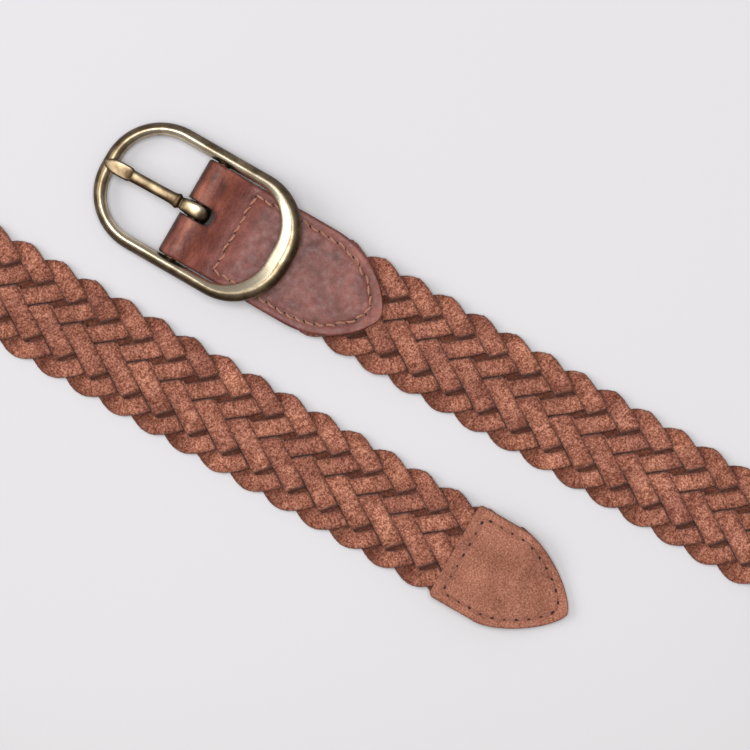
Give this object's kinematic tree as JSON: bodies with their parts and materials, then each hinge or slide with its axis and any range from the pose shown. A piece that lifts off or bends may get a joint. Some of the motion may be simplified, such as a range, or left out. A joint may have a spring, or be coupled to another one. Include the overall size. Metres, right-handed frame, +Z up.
{
  "type": "braided leather belt",
  "caption": "Flat braided leather strap with a pointed leather tip, folded leather chape and a rounded centre-bar buckle with a swinging prong.",
  "frame": {"origin": "middle of the laid-out belt's footprint, on the surface it lies on", "axes": "+Z up out of the strap's face at both ends; +X along the strap from the buckle, and also towards the tip; +Y across the strap, from the tip run to the buckle run"},
  "size_m": [0.4312, 0.2464, 0.0357],
  "materials": {
    "suede_lace": "suede, fuzzy",
    "chape_leather": "smooth, semi-gloss",
    "tip_leather": "suede, fuzzy",
    "sewing_thread": "twisted, waxed",
    "antique_brass": "antiqued, satin with polished high spots"
  },
  "bodies": {
    "strap": {"lace_1": "suede_lace", "lace_2": "suede_lace", "lace_3": "suede_lace", "lace_4": "suede_lace", "lace_5": "suede_lace", "lace_6": "suede_lace", "lace_7": "suede_lace", "chape": "chape_leather", "chape_thread": "sewing_thread", "tip_front": "tip_leather", "tip_back": "tip_leather", "tip_thread": "sewing_thread"},
    "buckle": {"buckle_frame": "antique_brass", "centre_bar": "antique_brass"},
    "prong": {"prong": "antique_brass"}
  },
  "joints": [
    {"name": "buckle_swing", "type": "hinge", "parent": "strap", "child": "buckle", "pos_m": [-0.08755, 0.1003, 0.00495], "axis": [0, -1, 0], "range_deg": [0, 150]},
    {"name": "prong_swing", "type": "hinge", "parent": "buckle", "child": "prong", "pos_m": [-0.08755, 0.1003, 0.00495], "axis": [0, 1, 0], "range_deg": [0, 105]}
  ]
}
